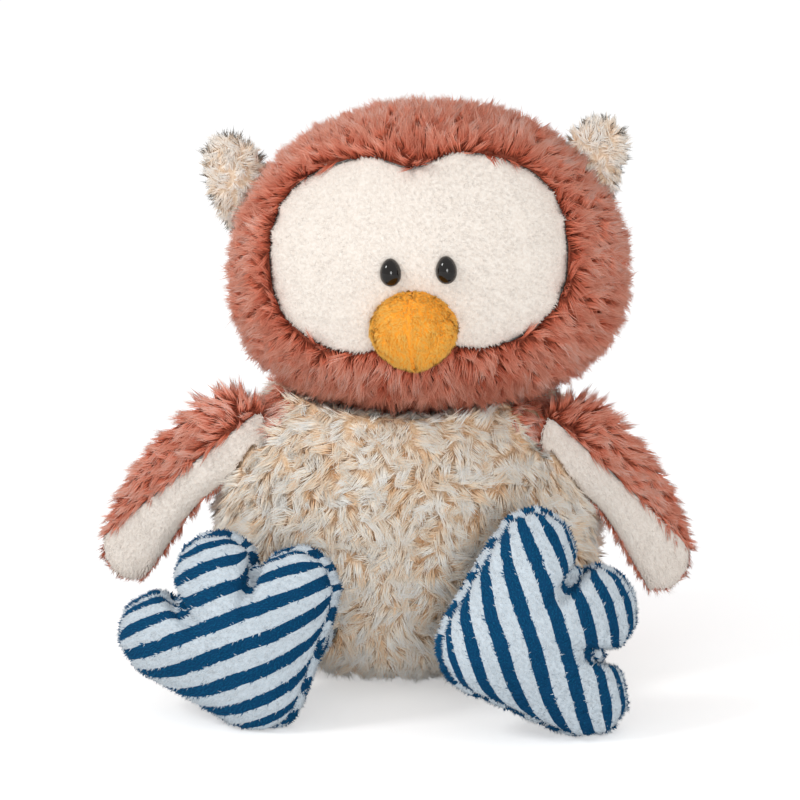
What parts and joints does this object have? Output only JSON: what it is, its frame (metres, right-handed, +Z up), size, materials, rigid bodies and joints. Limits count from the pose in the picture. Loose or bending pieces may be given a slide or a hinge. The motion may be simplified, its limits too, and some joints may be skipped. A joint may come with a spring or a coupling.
{
  "type": "plush owl",
  "caption": "Sitting stuffed toy owl with a long-pile body, pale face panel, soft ball beak, flap wings and striped three-toed feet on limp legs.",
  "frame": {"origin": "middle of the flat seat, on the surface that the toy sits on", "axes": "+Z up, the owl faces -Y, +X towards the viewer's right"},
  "size_m": [0.2382, 0.1639, 0.2258],
  "materials": {
    "russet_pile": "long russet-brown plush pile in clumped locks",
    "beige_pile": "long mottled beige and cream plush pile in swirled locks",
    "cream_velour": "short dense cream plush",
    "orange_velour": "short dense orange plush",
    "ear_pile": "curly cream and tan plush tuft",
    "striped_terry": "short terry plush in off-white and petrol blue stripes",
    "eye_black": "polished black",
    "nylon": "moulded natural nylon",
    "stuffing": "loose polyester fibre",
    "pellet_cloth": "woven pouch of plastic pellets"
  },
  "bodies": {
    "torso": {"body_belly_panel": "beige_pile", "body_back_panel": "russet_pile", "body_stuffing": "stuffing", "pellet_bag": "pellet_cloth"},
    "neck": {"neck_stuffing": "stuffing"},
    "head": {"head_cover": "russet_pile", "face_mask": "cream_velour", "head_stuffing": "stuffing", "beak_left_panel": "orange_velour", "beak_right_panel": "orange_velour", "beak_stuffing": "stuffing", "eye_left": "eye_black", "eye_right": "eye_black", "eye_washer_left": "nylon", "eye_washer_right": "nylon", "ear_left": "ear_pile", "ear_right": "ear_pile"},
    "wing_left": {"wing_left_outer": "russet_pile", "wing_left_lining": "cream_velour", "wing_left_wadding": "stuffing"},
    "leg_left": {"leg_left_sleeve": "striped_terry", "leg_left_stuffing": "stuffing"},
    "foot_left": {"foot_left_sole_panel": "striped_terry", "foot_left_back_panel": "striped_terry", "foot_left_stuffing": "stuffing"},
    "wing_right": {"wing_right_outer": "russet_pile", "wing_right_lining": "cream_velour", "wing_right_wadding": "stuffing"},
    "leg_right": {"leg_right_sleeve": "striped_terry", "leg_right_stuffing": "stuffing"},
    "foot_right": {"foot_right_sole_panel": "striped_terry", "foot_right_back_panel": "striped_terry", "foot_right_stuffing": "stuffing"}
  },
  "joints": [
    {"name": "head_turn", "type": "hinge", "parent": "torso", "child": "neck", "pos_m": [0.003, -0.003, 0.112], "axis": [0, 0, 1], "range_deg": [-25, 25], "stiffness_Nm_per_rad": 0.3},
    {"name": "head_nod", "type": "hinge", "parent": "neck", "child": "head", "pos_m": [0.003, -0.003, 0.112], "axis": [1, 0, 0], "range_deg": [-8, 8], "stiffness_Nm_per_rad": 0.8},
    {"name": "wing_left_lift", "type": "hinge", "parent": "torso", "child": "wing_left", "pos_m": [-0.06307, -0.02049, 0.10618], "axis": [-0.6998, 0.2827, 0.6561], "range_deg": [0, 75], "stiffness_Nm_per_rad": 0.015},
    {"name": "wing_right_lift", "type": "hinge", "parent": "torso", "child": "wing_right", "pos_m": [0.05925, -0.02763, 0.1055], "axis": [-0.6958, -0.37, -0.6157], "range_deg": [0, 75], "stiffness_Nm_per_rad": 0.015},
    {"name": "leg_left_raise", "type": "hinge", "parent": "torso", "child": "leg_left", "pos_m": [-0.044, -0.048, 0.027], "axis": [-1, 0, 0], "range_deg": [-20, 20]},
    {"name": "leg_right_raise", "type": "hinge", "parent": "torso", "child": "leg_right", "pos_m": [0.044, -0.048, 0.027], "axis": [-1, 0, 0], "range_deg": [-20, 20]},
    {"name": "foot_left_roll", "type": "hinge", "parent": "leg_left", "child": "foot_left", "pos_m": [-0.05856, -0.06985, 0.02394], "axis": [0.2532, 0.9448, -0.2079], "range_deg": [-45, 45]},
    {"name": "foot_right_roll", "type": "hinge", "parent": "leg_right", "child": "foot_right", "pos_m": [0.03749, -0.08353, 0.03596], "axis": [-0.2034, 0.9568, -0.2079], "range_deg": [-45, 45]}
  ]
}
